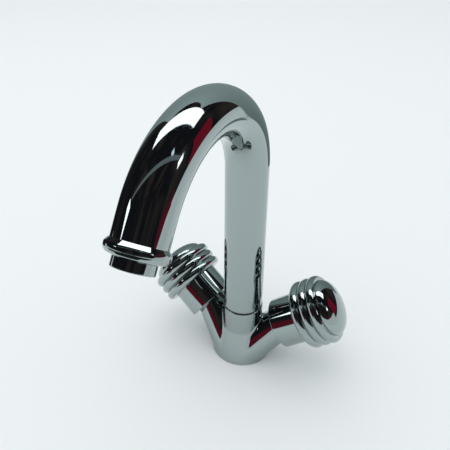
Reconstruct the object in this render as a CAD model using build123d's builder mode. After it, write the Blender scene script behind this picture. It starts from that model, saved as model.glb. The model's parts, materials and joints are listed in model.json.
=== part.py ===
from build123d import *
import os
from math import atan2, cos, degrees, pi, radians, sin

os.makedirs("parts", exist_ok=True)

# Sizes are in millimetres and degrees. The origin is the centre of the base on the deck, +Z is up,
# the spout points to -Y, the hot arm to -X and the cold arm to +X.
# Cutting shapes run past the surface that they open by cut_over.
cut_over = 1.0

# Body casting
base_radius = 25.0
rim_height = 2.0
rim_rounding = 0.5
arm_root_inset = 0.6
arm_root_height = 1.0
skirt_height = 27.0
column_radius = 16.4
joint_height = 48.3
boss_radius = 13.75
crotch_rounding = 3.0

# Arms, measured along their own axes from the column's centre line
arm_height = 10.8
arm_lift = 34.0
arm_sweep = 12.0
sleeve_start = 40.1
sleeve_end = 62.6
boss_end = 44.3

# Waterways in the casting
inlet_spread = 10.5
inlet_bore = 4.5
inlet_thread_depth = 12.0
inlet_drill_radius = 4.0
inlet_drill_top = 22.5
pocket_radius = 5.2
pocket_start = 15.2
mixing_radius = 7.0
mixing_floor = 28.0
port_radius = 2.4
port_height = 32.6
port_reach = 18.0
stud_bore = 3.35
stud_depth = 15.0
stud_offset = 12.5

# Base seal
seal_groove_radius = 22.2
seal_groove_width = 3.0
seal_groove_depth = 2.0
seal_play = 0.1

# Nipple that the spout turns on
nipple_radius = 11.0
nipple_height = 22.0
turning_play = 0.05
ring_section = 0.95
ring_play = 0.02
ring_groove_width = 2.3
ring_groove_floor = 9.1
ring_heights = (14.0, 18.5)
lock_height = 6.5
lock_groove_floor = 9.4
lock_groove_width = 3.6
slip_ring_thickness = 1.0
slip_ring_inset = 0.2
lift_play = 0.03

# Spout
foot_height = 12.0
foot_inset = 0.2
foot_neck_height = 11.0
tube_radius = 16.0
tube_wall = 1.6
braze_gap = 0.05
riser_top = 174.8
rear_bend_radius = 54.8
rear_bend_angle = 44.0
front_bend_radius = 72.8
front_bend_angle = 99.8
drop_length = 14.3

# Lock screw at the back of the spout's foot
lock_screw_radius = 2.5
lock_point_radius = 1.4
lock_point_length = 1.2
lock_point_play = 0.2
lock_screw_sink = 0.3
lock_socket_radius = 1.25
lock_socket_depth = 1.5
thread_play = 0.05

# Nozzle bead and aerator, measured along the outlet from the bead's widest ring
bead_bulge = 2.4
bead_half_length = 5.0
nozzle_end_radius = 14.4
nozzle_sleeve_length = 7.0
nozzle_shoulder_radius = 10.0
aerator_thread_radius = 11.45
aerator_thread_length = 6.5
aerator_radius = 12.4
aerator_length = 7.0
aerator_rounding = 0.6
aerator_bore = 9.8
aerator_lip = 9.0
aerator_lip_height = 1.2
aerator_washer_thickness = 1.5
aerator_washer_width = 1.8
insert_top = 1.0
insert_play = 0.05
jet_radius = 0.8
jet_pitch = 2.3
jet_rings = 3
jets_per_ring = 6
screen_thickness = 0.4
screen_hole_radius = 0.5

# Valve headworks, measured along the arm
seat = 20.0
chamber_radius = 9.6
barrel_radius = 9.3
barrel_bore = 8.15
barrel_lead = 0.9
thread_radius = 10.2
thread_lead = 0.5
flange_radius = 13.5
flange_height = 1.2
hex_across = 24.0
hex_height = 5.0
neck_radius = 9.0
neck_height = 12.0
headwork_ring_section = 0.85
headwork_ring_radius = 11.35
ring_seat_depth = 1.8
ring_seat_radius = 12.4
washer_thickness = 2.2
washer_radius = 7.8
washer_bore = 5.4
disc_radius = 8.0
disc_thickness = 3.0
disc_gap = 0.02
disc_lug_reach = 8.9
disc_lug_width = 3.0
disc_lug_play = 0.1
disc_port_radius = 5.25
disc_port_width = 3.3
disc_port_length = 6.0
disc_notch_depth = 1.2
window_width = 8.0
window_height = 6.0
window_top_wall = 0.5
stop_inner = 5.1
stop_play = 0.15
stop_lead = 0.3

# Spindles
quarter_turn = 90.0
driver_length = 15.0
driver_width = 5.0
driver_play = 0.05
driver_rise = 3.8
shaft_radius = 4.85
shaft_play = 0.05
shaft_ring_section = 0.8
shaft_ring_groove_width = 2.0
shaft_ring_groove_floor = 3.2
shaft_ring_places = (37.0, 42.0)
clip_thickness = 1.0
clip_radius = 6.6
clip_mouth = 5.0
clip_groove_floor = 4.0
clip_play = 0.05
clip_gap = 0.2
spline_radius = 3.6
spline_teeth = 20
spline_tooth = 0.6
spline_length = 12.0
spline_play = 0.08
spline_room = 0.2

# Cover sleeves
sleeve_radius = 20.6
sleeve_wall = 1.5
sleeve_end_wall = 1.6
sleeve_web = 2.5
sleeve_web_setback = 1.0
sleeve_edge = 0.5
boss_play = 0.15

# Handles
bead_radius = 27.7
bead_pitch = 7.2
bead_height = 2.1
bead_count = 3
handle_wall = 2.6
handle_play = 0.35
handle_overlap = 1.6
hub_radius = 7.5
hub_setback = 0.6
hub_web = 3.0
hub_web_setback = 5.0
cap_radius = 23.1
cap_ledge = 1.4
cap_height = 10.6
cap_knuckle = 6.0
cap_wall = 1.8
cap_skirt_length = 3.6
cap_skirt_wall = 1.4
cap_play = 0.1
screw_radius = 1.95
screw_head_radius = 3.8
screw_head_height = 2.6
screw_length = 12.0
screw_slot = 1.0
screw_slot_depth = 1.2
screw_play = 0.15
screw_tip_room = 1.5

SIDES = ((-1, "hot"), (1, "cold"))


def arm_axis(side):
    """Unit vector that points outwards along an arm."""
    lift = radians(arm_lift)
    sweep = radians(arm_sweep)
    return Vector(side * cos(lift) * cos(sweep), cos(lift) * sin(sweep), sin(lift))


def arm_up(side):
    """Unit vector square to an arm, in its upright plane."""
    lift = radians(arm_lift)
    sweep = radians(arm_sweep)
    return Vector(-side * sin(lift) * cos(sweep), -sin(lift) * sin(sweep), cos(lift))


def arm_outward(side):
    """Level unit vector below an arm."""
    sweep = radians(arm_sweep)
    return Vector(side * cos(sweep), sin(sweep), 0)


def arm_point(along, side):
    """Point on an arm's axis."""
    return Vector(0, 0, arm_height) + arm_axis(side) * along


def arm_line(side):
    """Axis of an arm, pointing outwards."""
    return Axis(arm_point(0, side), arm_axis(side))


def across_arm(along, side):
    """Plane square to an arm, facing outwards."""
    return Plane(origin=arm_point(along, side), x_dir=arm_up(side), z_dir=arm_axis(side))


def valve_plane(along, side):
    """Plane square to an arm, with x along the driver bar of the closed valve."""
    turn = radians(quarter_turn / 2)
    bar = arm_up(side) * cos(turn) - arm_axis(side).cross(arm_up(side)) * sin(turn)
    return Plane(origin=arm_point(along, side), x_dir=bar, z_dir=arm_axis(side))


def arm_section(side):
    """Plane through an arm's axis: x is the radius and y runs along the arm."""
    return Plane(origin=arm_point(0, side), x_dir=arm_up(side), z_dir=arm_up(side).cross(arm_axis(side)))


def turned(plane, axis, outline, mode=Mode.ADD):
    """Turn a closed outline of (radius, along) points about an axis."""
    with BuildSketch(plane) as profile:
        with BuildLine():
            Polyline(*outline, close=True)
        make_face()
    revolve(profile.sketch, axis=axis, mode=mode)


def ring(inner, outer, low, high):
    """Outline of a plain ring or, with no inner radius, of a plain disc."""
    return [(inner, low), (outer, low), (outer, high), (inner, high)]


def sealing_rings(plane, axis, radius, section, places, name):
    """Rubber rings at some places along one axis, as one node."""
    with BuildPart() as rings:
        for place in places:
            with BuildSketch(plane) as profile:
                with Locations((radius, place)):
                    Circle(section)
            revolve(profile.sketch, axis=axis)
    save(rings.part, name)


def port_pair(first):
    """Cut two facing water ports of a ceramic disc in the current sketch, centred at an angle."""
    with PolarLocations(disc_port_radius, 2, start_angle=first):
        SlotOverall(disc_port_length, disc_port_width, rotation=quarter_turn, mode=Mode.SUBTRACT)


def jet_holes(radius):
    """Cut a centre hole and rings of holes in the current sketch."""
    Circle(radius, mode=Mode.SUBTRACT)
    for number in range(1, jet_rings + 1):
        with PolarLocations(number * jet_pitch, jets_per_ring * number):
            Circle(radius, mode=Mode.SUBTRACT)


def spline_outline(extra):
    """Points of the toothed spline, grown by an amount."""
    points = []
    for tooth in range(spline_teeth):
        root_angle = radians(360 / spline_teeth * tooth)
        tip_angle = radians(360 / spline_teeth * (tooth + 0.5))
        root = spline_radius + extra
        tip = spline_radius + spline_tooth + extra
        points.append((root * cos(root_angle), root * sin(root_angle)))
        points.append((tip * cos(tip_angle), tip * sin(tip_angle)))
    return points


def save(part, name):
    part.label = name
    export_step(part, f"parts/{name}.step")


# Places that follow from the sizes above
fixed_disc_start = seat + washer_thickness
moving_disc_start = fixed_disc_start + disc_thickness + disc_gap
moving_disc_end = moving_disc_start + disc_thickness
shoulder = moving_disc_end + driver_rise + disc_gap
hex_end = boss_end + hex_height
neck_end = hex_end + neck_height
clip_start = neck_end + clip_gap
clip_end = clip_start + clip_thickness
spline_start = clip_end + clip_gap
spline_end = spline_start + spline_length
handle_start = sleeve_end
sleeve_tip = sleeve_end + handle_overlap
beads_end = handle_start + bead_count * bead_pitch
web_end = beads_end - hub_web_setback
web_start = web_end - hub_web
groove_radius = bead_radius - bead_height
handle_bore = groove_radius - handle_wall
cap_seat_radius = cap_radius - cap_ledge
knuckle_centre = cap_radius - cap_knuckle
cap_crown = (knuckle_centre**2 + cap_height**2 - cap_knuckle**2) / (2 * (cap_height - cap_knuckle))
crown_centre = beads_end + cap_height - cap_crown
knuckle_turn = degrees(atan2(beads_end - crown_centre, knuckle_centre))
stop_start = moving_disc_end + stop_lead
barrel_start = seat + barrel_lead
barrel_thread_start = shoulder + thread_lead
flange_end = boss_end + flange_height
hub_start = handle_start + hub_setback
spline_top = spline_end + spline_room
screw_tip = web_end - screw_length
foot_base = joint_height + slip_ring_thickness + lift_play
tube_start = joint_height + foot_height
neck_top = tube_start + foot_neck_height
nipple_top = joint_height + nipple_height
lock_level = joint_height + lock_height
tube_bore = tube_radius - tube_wall
foot_radius = tube_radius - foot_inset
slip_ring_radius = foot_radius - slip_ring_inset
nipple_grooves = [(joint_height + height, ring_groove_width, ring_groove_floor) for height in ring_heights]
nipple_grooves.append((lock_level, lock_groove_width, lock_groove_floor))
upright = Plane.XZ
centre_line = Axis.Z
forward = Vector(0, -1, 0)
spout_plane = Plane(origin=(0, 0, 0), x_dir=forward, z_dir=forward.cross(Vector(0, 0, 1)))
lock_plane = Plane(origin=(0, 0, lock_level), z_dir=-forward)

# Mixer body: rim and skirt, column, two tapering arms with bosses, and the nipple
with BuildPart() as mixer_body:
    turned(
        upright,
        centre_line,
        [
            (0, 0),
            (base_radius, 0),
            (base_radius, rim_height),
            (column_radius, skirt_height),
            (column_radius, joint_height),
            (0, joint_height),
        ],
    )
    for side, name in SIDES:
        boss_foot = Plane(origin=arm_point(sleeve_start, side), x_dir=-arm_up(side), z_dir=arm_axis(side))
        with BuildSketch(Plane(origin=(0, 0, arm_root_height), x_dir=arm_outward(side), z_dir=(0, 0, 1))):
            Circle(base_radius - arm_root_inset)
        with BuildSketch(boss_foot):
            Circle(boss_radius)
        loft(ruled=True)
        with BuildSketch(across_arm(sleeve_start, side)):
            Circle(boss_radius)
        extrude(amount=boss_end - sleeve_start)
    curved_joins = mixer_body.edges().filter_by(GeomType.BSPLINE)
    fillet(curved_joins.filter_by_position(Axis.Z, skirt_height, joint_height), radius=crotch_rounding)
    fillet(mixer_body.edges().group_by(Axis.Z)[0], radius=rim_rounding)
    turned(upright, centre_line, ring(0, nipple_radius, skirt_height, nipple_top))
    for middle, width, floor in nipple_grooves:
        groove = ring(floor, nipple_radius + cut_over, middle - width / 2, middle + width / 2)
        turned(upright, centre_line, groove, Mode.SUBTRACT)
    turned(upright, centre_line, ring(0, mixing_radius, mixing_floor, nipple_top + cut_over), Mode.SUBTRACT)
    for side, name in SIDES:
        turned(
            arm_section(side),
            arm_line(side),
            [
                (0, pocket_start),
                (pocket_radius, pocket_start),
                (pocket_radius, seat),
                (chamber_radius, seat),
                (chamber_radius, shoulder),
                (thread_radius + thread_play, shoulder),
                (thread_radius + thread_play, boss_end - ring_seat_depth),
                (ring_seat_radius, boss_end - ring_seat_depth),
                (ring_seat_radius, boss_end + cut_over),
                (0, boss_end + cut_over),
            ],
            Mode.SUBTRACT,
        )
        with BuildSketch(Plane(origin=(0, 0, port_height), z_dir=arm_outward(side))):
            Circle(port_radius)
        extrude(amount=port_reach, mode=Mode.SUBTRACT)
        with BuildSketch(Plane.XY):
            with Locations((side * inlet_spread, 0)):
                Circle(inlet_bore)
        extrude(amount=inlet_thread_depth, mode=Mode.SUBTRACT)
        with BuildSketch(Plane.XY):
            with Locations((side * inlet_spread, 0)):
                Circle(inlet_drill_radius)
        extrude(amount=inlet_drill_top, mode=Mode.SUBTRACT)
    with BuildSketch(Plane.XY):
        with Locations((0, stud_offset)):
            Circle(stud_bore)
    extrude(amount=stud_depth, mode=Mode.SUBTRACT)
    seal_groove = ring(
        seal_groove_radius - seal_groove_width / 2,
        seal_groove_radius + seal_groove_width / 2,
        -cut_over,
        seal_groove_depth,
    )
    turned(upright, centre_line, seal_groove, Mode.SUBTRACT)
save(mixer_body.part, "mixer_body")

# Base seal, level with the base face
with BuildPart() as base_seal:
    seal_half = seal_groove_width / 2 - seal_play
    seal_inner = seal_groove_radius - seal_half
    seal_outer = seal_groove_radius + seal_half
    turned(upright, centre_line, ring(seal_inner, seal_outer, 0, seal_groove_depth - seal_play))
save(base_seal.part, "base_seal")

# Slip ring that carries the spout
with BuildPart() as slip_ring:
    slip_top = joint_height + slip_ring_thickness
    turned(upright, centre_line, ring(nipple_radius + turning_play, slip_ring_radius, joint_height, slip_top))
save(slip_ring.part, "slip_ring")

# Sealing rings of the nipple
sealing_rings(
    upright,
    centre_line,
    nipple_radius + turning_play - ring_play - ring_section,
    ring_section,
    [joint_height + height for height in ring_heights],
    "nipple_o_rings",
)

# Spout foot: the collar that turns on the nipple and carries the tube
with BuildPart() as spout_foot:
    turned(
        upright,
        centre_line,
        [
            (nipple_radius + turning_play, foot_base),
            (foot_radius, foot_base),
            (foot_radius, tube_start),
            (tube_bore - braze_gap, tube_start),
            (tube_bore - braze_gap, neck_top),
            (nipple_radius + turning_play, neck_top),
        ],
    )
    with BuildSketch(lock_plane):
        Circle(lock_screw_radius + thread_play)
    extrude(amount=foot_radius + cut_over, mode=Mode.SUBTRACT)
save(spout_foot.part, "spout_foot")

# Lock screw: its point runs in the nipple's groove and keeps the spout from lifting
with BuildPart() as spout_lock_screw:
    with BuildSketch(lock_plane.offset(lock_groove_floor + lock_point_play)):
        Circle(lock_point_radius)
    extrude(amount=nipple_radius + lock_point_length - lock_groove_floor - lock_point_play)
    with BuildSketch(lock_plane.offset(nipple_radius + lock_point_length)):
        Circle(lock_screw_radius)
    extrude(amount=foot_radius - lock_screw_sink - nipple_radius - lock_point_length)
    with BuildSketch(lock_plane.offset(foot_radius - lock_screw_sink)):
        RegularPolygon(lock_socket_radius, 6)
    extrude(amount=-lock_socket_depth, mode=Mode.SUBTRACT)
save(spout_lock_screw.part, "spout_lock_screw")

# Spout tube: a riser, two bends of different radius and the drop
with BuildPart() as spout_tube:
    with BuildLine(spout_plane) as spout_path:
        riser = Line((0, tube_start), (0, riser_top))
        rear_bend = JernArc(riser @ 1, riser % 1, rear_bend_radius, -rear_bend_angle)
        front_bend = JernArc(rear_bend @ 1, rear_bend % 1, front_bend_radius, -front_bend_angle)
        drop = Line(front_bend @ 1, (front_bend @ 1) + (front_bend % 1) * drop_length)
    with BuildSketch(Plane(origin=(0, 0, tube_start))):
        Circle(tube_radius)
        Circle(tube_bore, mode=Mode.SUBTRACT)
    sweep(path=spout_path.wires()[0])
save(spout_tube.part, "spout_tube")
tube_volume = pi * (tube_radius**2 - tube_bore**2) * spout_path.wire().length
print("tube volume against section times length:", spout_tube.part.volume / tube_volume)

# The outlet: its axis runs on from the tube, and its origin is the nozzle bead's widest ring
outlet_way = drop % 1
outlet_point = (drop @ 1) + outlet_way * bead_half_length
outlet_line = Axis(outlet_point, outlet_way)
outlet_section = Plane(
    origin=outlet_point, x_dir=spout_plane.z_dir, z_dir=spout_plane.z_dir.cross(outlet_way)
)
sleeve_top = -bead_half_length - nozzle_sleeve_length
thread_top = bead_half_length - aerator_thread_length
washer_top = thread_top - aerator_washer_thickness
aerator_end = bead_half_length + aerator_length
lip_top = aerator_end - aerator_lip_height

# Nozzle: rounded bead with a sleeve in the tube and the thread for the aerator
with BuildPart() as spout_nozzle:
    with BuildSketch(outlet_section) as nozzle_profile:
        with BuildLine():
            Polyline(
                (nozzle_end_radius, bead_half_length),
                (aerator_thread_radius + thread_play, bead_half_length),
                (aerator_thread_radius + thread_play, washer_top),
                (nozzle_shoulder_radius, washer_top),
                (nozzle_shoulder_radius, sleeve_top),
                (tube_bore - braze_gap, sleeve_top),
                (tube_bore - braze_gap, -bead_half_length),
                (tube_radius, -bead_half_length),
            )
            ThreePointArc(
                (tube_radius, -bead_half_length),
                (tube_radius + bead_bulge, 0),
                (nozzle_end_radius, bead_half_length),
            )
        make_face()
    revolve(nozzle_profile.sketch, axis=outlet_line)
save(spout_nozzle.part, "spout_nozzle")

# Aerator housing: threaded neck, visible sleeve and an inner lip that holds the insert
with BuildPart() as aerator_housing:
    turned(
        outlet_section,
        outlet_line,
        [
            (aerator_bore, thread_top),
            (aerator_thread_radius, thread_top),
            (aerator_thread_radius, bead_half_length),
            (aerator_radius, bead_half_length),
            (aerator_radius, aerator_end),
            (aerator_lip, aerator_end),
            (aerator_lip, lip_top),
            (aerator_bore, lip_top),
        ],
    )
    mouth_edges = aerator_housing.edges().filter_by(GeomType.CIRCLE).group_by(SortBy.RADIUS)[-1]
    fillet(mouth_edges.sort_by(outlet_line)[-1], radius=aerator_rounding)
save(aerator_housing.part, "aerator_housing")

# Aerator washer
with BuildPart() as aerator_washer:
    washer = ring(aerator_thread_radius - aerator_washer_width, aerator_thread_radius, washer_top, thread_top)
    turned(outlet_section, outlet_line, washer)
save(aerator_washer.part, "aerator_washer")

# Aerator insert with its jets, and the strainer on it
outlet_plane = Plane(origin=outlet_point, x_dir=spout_plane.z_dir, z_dir=outlet_way)
with BuildPart() as aerator_insert:
    with BuildSketch(outlet_plane.offset(insert_top)):
        Circle(aerator_bore - insert_play)
        jet_holes(jet_radius)
    extrude(amount=lip_top - insert_top)
save(aerator_insert.part, "aerator_insert")

with BuildPart() as aerator_screen:
    with BuildSketch(outlet_plane.offset(insert_top - screen_thickness)):
        Circle(aerator_bore - insert_play)
        jet_holes(screen_hole_radius)
    extrude(amount=screen_thickness)
save(aerator_screen.part, "aerator_screen")

# Both arms hold the same valve, cover sleeve and handle
for side, name in SIDES:
    # Seat washer under the fixed disc
    with BuildPart() as seat_washer:
        turned(arm_section(side), arm_line(side), ring(washer_bore, washer_radius, seat, fixed_disc_start))
    save(seat_washer.part, f"{name}_seat_washer")

    # Fixed disc: two ports and two lugs that keep it from turning
    with BuildPart() as fixed_disc:
        with BuildSketch(valve_plane(fixed_disc_start, side)):
            Circle(disc_radius)
            Rectangle(disc_lug_width, 2 * disc_lug_reach)
            port_pair(0)
        extrude(amount=disc_thickness)
    save(fixed_disc.part, f"{name}_fixed_disc")

    # Moving disc: its ports stand a quarter turn from the fixed ones, and a notch takes the driver bar
    with BuildPart() as moving_disc:
        with BuildSketch(valve_plane(moving_disc_start, side)):
            Circle(disc_radius)
            port_pair(quarter_turn)
        extrude(amount=disc_thickness)
        with BuildSketch(valve_plane(moving_disc_end - disc_notch_depth, side)):
            Rectangle(2 * (disc_radius + cut_over), driver_width + 2 * driver_play)
        extrude(amount=disc_notch_depth + cut_over, mode=Mode.SUBTRACT)
    save(moving_disc.part, f"{name}_moving_disc")

    # Headwork: windowed barrel, thread, flange, hexagon and neck
    with BuildPart() as headwork:
        turned(
            arm_section(side),
            arm_line(side),
            [
                (0, barrel_start),
                (barrel_radius, barrel_start),
                (barrel_radius, barrel_thread_start),
                (thread_radius, barrel_thread_start),
                (thread_radius, boss_end),
                (flange_radius, boss_end),
                (flange_radius, flange_end),
                (neck_radius, flange_end),
                (neck_radius, neck_end),
                (0, neck_end),
            ],
        )
        with BuildSketch(across_arm(flange_end, side)):
            RegularPolygon(hex_across / 2, 6, major_radius=False)
        extrude(amount=hex_end - flange_end)
        with BuildSketch(across_arm(shoulder - window_top_wall - window_height, side)):
            Rectangle(2 * (barrel_radius + cut_over), window_width)
        extrude(amount=window_height, mode=Mode.SUBTRACT)
        with BuildSketch(across_arm(barrel_start - cut_over, side)):
            Circle(barrel_bore)
        extrude(amount=stop_start - barrel_start + cut_over, mode=Mode.SUBTRACT)
        stop_corner = driver_width / 2 + stop_play
        stop_side = barrel_radius - stop_corner
        stop_centre = stop_corner + stop_side / 2
        with BuildSketch(valve_plane(stop_start, side)):
            Circle(barrel_bore)
            with Locations((-stop_centre, stop_centre), (stop_centre, -stop_centre)):
                Rectangle(stop_side, stop_side, mode=Mode.SUBTRACT)
            Circle(stop_inner)
        extrude(amount=shoulder - stop_start, mode=Mode.SUBTRACT)
        with BuildSketch(across_arm(shoulder - cut_over, side)):
            Circle(shaft_radius + shaft_play)
        extrude(amount=neck_end - shoulder + 2 * cut_over, mode=Mode.SUBTRACT)
        with BuildSketch(valve_plane(barrel_start - cut_over, side)):
            Rectangle(disc_lug_width + 2 * disc_lug_play, 2 * (barrel_radius + cut_over))
        extrude(amount=moving_disc_start - barrel_start + cut_over, mode=Mode.SUBTRACT)
    save(headwork.part, f"{name}_headwork")

    sealing_rings(
        arm_section(side),
        arm_line(side),
        headwork_ring_radius,
        headwork_ring_section,
        [boss_end - ring_seat_depth / 2],
        f"{name}_headwork_o_ring",
    )

    # Spindle: driver bar, shaft with two ring grooves, clip groove, spline and screw hole
    with BuildPart() as spindle:
        turned(
            arm_section(side),
            arm_line(side),
            ring(0, shaft_radius, moving_disc_end + driver_play, spline_start),
        )
        driver_start = moving_disc_end - disc_notch_depth + driver_play
        with BuildSketch(valve_plane(driver_start, side)):
            Rectangle(driver_length, driver_width)
        extrude(amount=shoulder - disc_gap - driver_start)
        for place in shaft_ring_places:
            half = shaft_ring_groove_width / 2
            groove = ring(shaft_ring_groove_floor, shaft_radius + cut_over, place - half, place + half)
            turned(arm_section(side), arm_line(side), groove, Mode.SUBTRACT)
        groove_low = clip_start - clip_play
        groove_high = clip_end + clip_play
        clip_groove = ring(clip_groove_floor, shaft_radius + cut_over, groove_low, groove_high)
        turned(arm_section(side), arm_line(side), clip_groove, Mode.SUBTRACT)
        with BuildSketch(across_arm(spline_start, side)):
            with BuildLine():
                Polyline(*spline_outline(0), close=True)
            make_face()
        extrude(amount=spline_length)
        screw_hole = ring(0, screw_radius + thread_play, screw_tip - screw_tip_room, spline_end + cut_over)
        turned(arm_section(side), arm_line(side), screw_hole, Mode.SUBTRACT)
    save(spindle.part, f"{name}_spindle")

    sealing_rings(
        arm_section(side),
        arm_line(side),
        shaft_radius + shaft_play - ring_play - shaft_ring_section,
        shaft_ring_section,
        shaft_ring_places,
        f"{name}_spindle_o_rings",
    )

    # Spindle clip: an open ring in the groove above the headwork's neck
    with BuildPart() as spindle_clip:
        with BuildSketch(across_arm(clip_start, side)):
            Circle(clip_radius)
            Circle(clip_groove_floor + clip_play, mode=Mode.SUBTRACT)
            with Locations((clip_radius, 0)):
                Rectangle(2 * clip_radius, clip_mouth, mode=Mode.SUBTRACT)
        extrude(amount=clip_thickness)
    save(spindle_clip.part, f"{name}_spindle_clip")

    # Cover sleeve: a tube with an end wall at the body and an inner web screwed on the headwork's neck
    with BuildPart() as shroud:
        sleeve_bore = sleeve_radius - sleeve_wall
        sleeve_web_end = neck_end - sleeve_web_setback
        turned(
            arm_section(side),
            arm_line(side),
            [
                (boss_radius + boss_play, sleeve_start),
                (sleeve_radius, sleeve_start),
                (sleeve_radius, sleeve_tip),
                (sleeve_bore, sleeve_tip),
                (sleeve_bore, sleeve_web_end),
                (neck_radius + thread_play, sleeve_web_end),
                (neck_radius + thread_play, sleeve_web_end - sleeve_web),
                (sleeve_bore, sleeve_web_end - sleeve_web),
                (sleeve_bore, sleeve_start + sleeve_end_wall),
                (boss_radius + boss_play, sleeve_start + sleeve_end_wall),
            ],
        )
        rim_edges = shroud.edges().filter_by(GeomType.CIRCLE).group_by(SortBy.RADIUS)[-1]
        fillet(rim_edges, radius=sleeve_edge)
    save(shroud.part, f"{name}_shroud")

    # Handle: a splined hub, and around it a shell of three beads that a web joins to the hub
    with BuildPart() as handle:
        with BuildSketch(across_arm(hub_start, side)):
            Circle(hub_radius)
            with BuildLine():
                Polyline(*spline_outline(spline_play), close=True)
            make_face(mode=Mode.SUBTRACT)
        extrude(amount=spline_top - hub_start)
        with BuildSketch(arm_section(side)) as handle_profile:
            with BuildLine():
                for bead in range(bead_count):
                    low = handle_start + bead * bead_pitch
                    ThreePointArc(
                        (groove_radius, low),
                        (bead_radius, low + bead_pitch / 2),
                        (groove_radius, low + bead_pitch),
                    )
                Polyline(
                    (groove_radius, beads_end),
                    (cap_seat_radius, beads_end),
                    (cap_seat_radius, web_end),
                    (screw_radius + screw_play, web_end),
                    (screw_radius + screw_play, spline_top),
                    (hub_radius, spline_top),
                    (hub_radius, web_start),
                    (handle_bore, web_start),
                    (handle_bore, handle_start + handle_wall),
                    (sleeve_radius + handle_play, handle_start + handle_wall),
                    (sleeve_radius + handle_play, handle_start),
                    (groove_radius, handle_start),
                )
            make_face()
        revolve(handle_profile.sketch, axis=arm_line(side))
    save(handle.part, f"{name}_handle")

    # Handle screw
    with BuildPart() as handle_screw:
        turned(
            arm_section(side),
            arm_line(side),
            [
                (0, screw_tip),
                (screw_radius, screw_tip),
                (screw_radius, web_end),
                (screw_head_radius, web_end),
                (screw_head_radius, web_end + screw_head_height),
                (0, web_end + screw_head_height),
            ],
        )
        with BuildSketch(across_arm(web_end + screw_head_height, side)):
            Rectangle(2 * (screw_head_radius + cut_over), screw_slot)
        extrude(amount=-screw_slot_depth, mode=Mode.SUBTRACT)
    save(handle_screw.part, f"{name}_handle_screw")

    # Handle cap: a dome with a tight rounding at its rim, and a skirt that snaps into the handle
    with BuildPart() as handle_cap:
        skirt_radius = cap_seat_radius - cap_play
        skirt_bore = skirt_radius - cap_skirt_wall
        inner_height = cap_height - cap_wall
        inner_crown = (skirt_bore**2 + inner_height**2) / (2 * inner_height)
        with BuildSketch(arm_section(side)) as cap_profile:
            with BuildLine():
                CenterArc((knuckle_centre, beads_end), cap_knuckle, 0, knuckle_turn)
                CenterArc((0, crown_centre), cap_crown, knuckle_turn, quarter_turn - knuckle_turn)
                Line((0, beads_end + cap_height), (0, beads_end + inner_height))
                RadiusArc((0, beads_end + inner_height), (skirt_bore, beads_end), inner_crown)
                Polyline(
                    (skirt_bore, beads_end),
                    (skirt_bore, beads_end - cap_skirt_length),
                    (skirt_radius, beads_end - cap_skirt_length),
                    (skirt_radius, beads_end),
                    (cap_radius, beads_end),
                )
            make_face()
        revolve(cap_profile.sketch, axis=arm_line(side))
    save(handle_cap.part, f"{name}_handle_cap")
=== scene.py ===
# %% [markdown]
# # Basin mixer tap
# The CAD parts come in as a fixed frame in metres. This notebook dresses them: each part that shows gets a
# smooth new mesh in the same place, and each hidden part keeps its mesh and gets a finish of its own.

# %% Frame
import bpy
import bmesh
import json
from math import acos, cos, pi, radians, sin, tan
from mathutils import Matrix, Vector


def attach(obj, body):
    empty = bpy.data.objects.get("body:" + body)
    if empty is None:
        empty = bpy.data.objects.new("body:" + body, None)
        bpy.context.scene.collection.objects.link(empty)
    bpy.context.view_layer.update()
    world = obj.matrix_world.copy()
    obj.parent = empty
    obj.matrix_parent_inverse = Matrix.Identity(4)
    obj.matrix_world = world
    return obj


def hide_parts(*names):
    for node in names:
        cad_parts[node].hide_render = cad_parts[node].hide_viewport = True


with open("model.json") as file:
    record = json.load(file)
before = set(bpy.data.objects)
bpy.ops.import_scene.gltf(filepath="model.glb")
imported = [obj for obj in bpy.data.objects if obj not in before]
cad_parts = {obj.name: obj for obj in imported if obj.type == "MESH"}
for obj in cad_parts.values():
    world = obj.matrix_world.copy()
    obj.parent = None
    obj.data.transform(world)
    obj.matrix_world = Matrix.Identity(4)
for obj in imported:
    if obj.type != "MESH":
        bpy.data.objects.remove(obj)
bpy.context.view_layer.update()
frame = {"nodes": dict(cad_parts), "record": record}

# %% [markdown]
# ## Turning a profile
# Nearly all of a tap is turned on a lathe. In Blender that is a profile of a few vertices, which `spin`
# carries round an axis. A corner that is broken on the real part is bevelled on the flat profile, before
# the spin, so each rounded edge comes out even all the way round, and `use_merge` closes the seam.

# %% Lathe
TURN_STEPS = 160
CORNER_STEPS = 5
WELD_DISTANCE = 1e-4


def round_corner(bm, corner, radius):
    """Round a corner of a profile: the bevel starts where an arc of that radius touches both edges."""
    ways = [(edge.other_vert(corner).co - corner.co).normalized() for edge in corner.link_edges]
    half = acos(max(-1.0, min(1.0, ways[0].dot(ways[1])))) / 2
    bmesh.ops.bevel(bm, geom=[corner], offset=radius / tan(half), offset_type="OFFSET", affect="VERTICES",
                    segments=CORNER_STEPS, profile=0.5, material=-1)


def turned_mesh(outline):
    """A bmesh in mm, turned about Z. A point is (radius, height), with a third number to round its corner."""
    bm = bmesh.new()
    points = [bm.verts.new((point[0], 0.0, point[1])) for point in outline]
    for first, second in zip(points, points[1:]):
        bm.edges.new((first, second))
    if outline[0][0] > 0 and outline[-1][0] > 0:
        bm.edges.new((points[-1], points[0]))
    for corner, point in zip(points, outline):
        if len(point) == 3:
            round_corner(bm, corner, point[2])
    bmesh.ops.spin(bm, geom=bm.verts[:] + bm.edges[:], cent=(0, 0, 0), axis=(0, 0, 1), angle=2 * pi,
                   steps=TURN_STEPS, use_merge=True)
    bmesh.ops.remove_doubles(bm, verts=bm.verts, dist=WELD_DISTANCE)
    bmesh.ops.recalc_face_normals(bm, faces=bm.faces)
    return bm


print("a full turn takes", TURN_STEPS, "steps of", 360 / TURN_STEPS, "degrees")

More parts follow.
